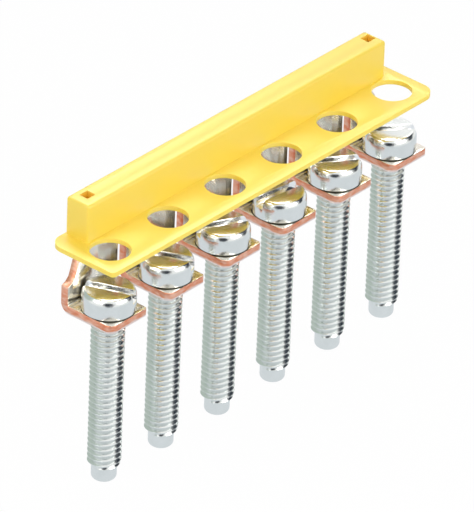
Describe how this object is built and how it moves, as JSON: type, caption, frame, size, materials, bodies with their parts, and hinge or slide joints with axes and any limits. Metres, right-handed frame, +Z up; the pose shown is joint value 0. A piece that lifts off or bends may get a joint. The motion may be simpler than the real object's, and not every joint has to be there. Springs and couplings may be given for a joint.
{
  "type": "terminal block jumper bar",
  "caption": "Screw-type cross connector: a tinned copper comb in a yellow insulating profile, with captive slotted screws.",
  "frame": {"origin": "first screw's axis, in the plane of the tabs' undersides", "axes": "+X along the row to the last pole, +Y towards the rib, +Z up out of the terminals"},
  "size_m": [0.0569, 0.0099, 0.0357],
  "materials": {
    "yellow_plastic": "satin",
    "tinned_copper": "satin",
    "zinc_plated_steel": "polished"
  },
  "bodies": {
    "root": {"insulating_profile": "yellow_plastic", "jumper_comb": "tinned_copper", "screw_1": "zinc_plated_steel", "screw_2": "zinc_plated_steel", "screw_3": "zinc_plated_steel", "screw_4": "zinc_plated_steel", "screw_5": "zinc_plated_steel", "screw_6": "zinc_plated_steel"}
  },
  "joints": []
}
